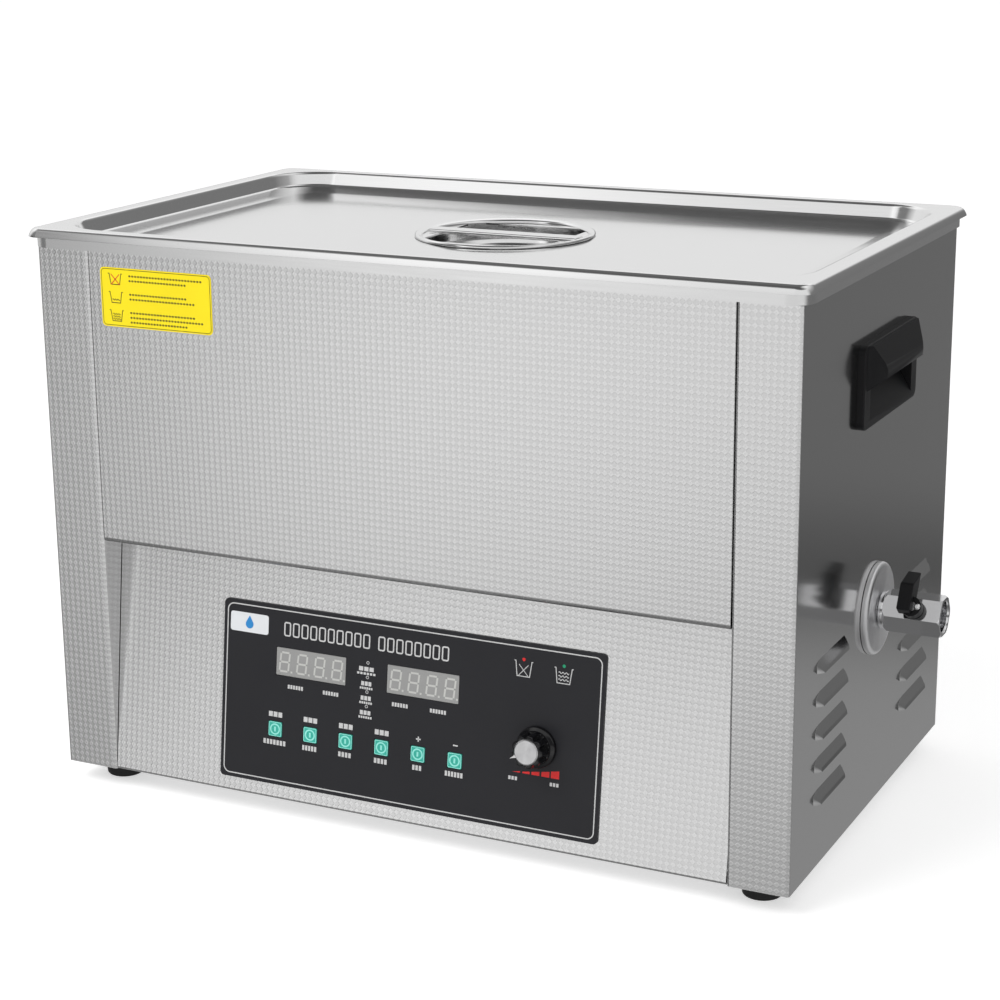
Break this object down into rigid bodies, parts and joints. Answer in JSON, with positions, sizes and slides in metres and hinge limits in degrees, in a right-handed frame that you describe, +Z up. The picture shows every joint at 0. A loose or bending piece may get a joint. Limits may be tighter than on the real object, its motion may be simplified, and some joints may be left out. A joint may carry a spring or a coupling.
{
  "type": "ultrasonic cleaner",
  "caption": "Bench-top ultrasonic cleaner: stainless casing and tank with a drop-in lid, slanted control panel, side grips and a drain valve.",
  "frame": {"origin": "centre of the whole part's bounding box in plan, at the underside of the feet", "axes": "+X is the cleaner's right as seen from its front, along its longest side; +Y goes from the control panel to the rear; +Z is up"},
  "size_m": [0.5824, 0.3349, 0.3844],
  "materials": {
    "stainless_sheet": "satin, front panels embossed with small squares",
    "polished_steel": "bright polished",
    "black_rubber": "matt moulded rubber",
    "black_plastic": "moulded black plastic",
    "knob_plastic": "glossy black plastic",
    "overlay_film": "matt charcoal film with printed marks",
    "display_window": "grey display window",
    "key_plastic": "teal key caps",
    "aluminium": "machined",
    "brass": "plain",
    "steel": "plain steel",
    "heater_silicone": "silicone heater pad",
    "circuit_board": "green circuit board"
  },
  "bodies": {
    "casing": {"left_side_panel": "stainless_sheet", "right_side_panel": "stainless_sheet", "upper_front_panel": "stainless_sheet", "lower_front_panel": "stainless_sheet", "base_plate": "stainless_sheet", "back_panel": "stainless_sheet", "tank": "stainless_sheet", "drain_escutcheon": "polished_steel", "valve_body": "polished_steel", "front_left_foot": "black_rubber", "front_right_foot": "black_rubber", "rear_left_foot": "black_rubber", "rear_right_foot": "black_rubber", "left_grip": "black_plastic", "right_grip": "black_plastic", "fan_frame": "black_plastic", "power_inlet": "black_plastic", "mains_switch_frame": "black_plastic", "fuse_holder": "black_plastic", "control_overlay": "overlay_film", "minutes_display": "display_window", "temperature_display": "display_window", "heat_sink": "aluminium", "front_transducer_1": "aluminium", "front_transducer_2": "aluminium", "front_transducer_3": "aluminium", "front_transducer_4": "aluminium", "rear_transducer_1": "aluminium", "rear_transducer_2": "aluminium", "rear_transducer_3": "aluminium", "rear_transducer_4": "aluminium", "drain_elbow": "brass", "drain_locknut": "brass", "temperature_sensor": "brass", "output_transformer": "brass", "potentiometer": "steel", "fan_guard": "steel", "front_heater_pad": "heater_silicone", "rear_heater_pad": "heater_silicone", "control_board": "circuit_board", "generator_board": "circuit_board"},
    "lid": {"lid_panel": "polished_steel", "lid_handle_cup": "polished_steel", "lid_handle_bar": "polished_steel"},
    "knob": {"power_knob": "knob_plastic", "power_knob_cap": "aluminium", "power_knob_shaft": "steel"},
    "drain_handle": {"valve_handle": "black_plastic", "handle_screw": "polished_steel", "valve_stem": "steel", "valve_ball": "polished_steel"},
    "fan": {"fan_rotor": "black_plastic"},
    "rocker": {"mains_switch_rocker": "black_plastic"},
    "ultrasonic_key": {"ultrasonic_key": "key_plastic"},
    "heater_key": {"heater_key": "key_plastic"},
    "degas_key": {"degas_key": "key_plastic"},
    "sweep_key": {"sweep_key": "key_plastic"},
    "plus_key": {"plus_key": "key_plastic"},
    "minus_key": {"minus_key": "key_plastic"}
  },
  "joints": [
    {"name": "lid_lift", "type": "slide", "parent": "casing", "child": "lid", "axis": [0, 0, 1], "range_m": [0, 0.3]},
    {"name": "knob_turn", "type": "hinge", "parent": "casing", "child": "knob", "pos_m": [0.07675, -0.14799, 0.07957], "axis": [0, 0.992, -0.126], "range_deg": [-34, 266]},
    {"name": "drain_turn", "type": "hinge", "parent": "casing", "child": "drain_handle", "pos_m": [0.27395, -0.00152, 0.1496], "axis": [0, 0.866, -0.5], "range_deg": [0, 90]},
    {"name": "fan_spin", "type": "hinge", "parent": "casing", "child": "fan", "pos_m": [-0.16605, 0.15898, 0.084], "axis": [0, 1, 0], "continuous": true},
    {"name": "rocker_tilt", "type": "hinge", "parent": "casing", "child": "rocker", "pos_m": [0.17395, 0.15498, 0.059], "axis": [1, 0, 0], "range_deg": [0, 14]},
    {"name": "ultrasonic_key_press", "type": "slide", "parent": "casing", "child": "ultrasonic_key", "axis": [0, 0.992, -0.126], "range_m": [0, 0.0005], "stiffness_N_per_m": 400},
    {"name": "heater_key_press", "type": "slide", "parent": "casing", "child": "heater_key", "axis": [0, 0.992, -0.126], "range_m": [0, 0.0005], "stiffness_N_per_m": 400},
    {"name": "degas_key_press", "type": "slide", "parent": "casing", "child": "degas_key", "axis": [0, 0.992, -0.126], "range_m": [0, 0.0005], "stiffness_N_per_m": 400},
    {"name": "sweep_key_press", "type": "slide", "parent": "casing", "child": "sweep_key", "axis": [0, 0.992, -0.126], "range_m": [0, 0.0005], "stiffness_N_per_m": 400},
    {"name": "plus_key_press", "type": "slide", "parent": "casing", "child": "plus_key", "axis": [0, 0.992, -0.126], "range_m": [0, 0.0005], "stiffness_N_per_m": 400},
    {"name": "minus_key_press", "type": "slide", "parent": "casing", "child": "minus_key", "axis": [0, 0.992, -0.126], "range_m": [0, 0.0005], "stiffness_N_per_m": 400}
  ]
}
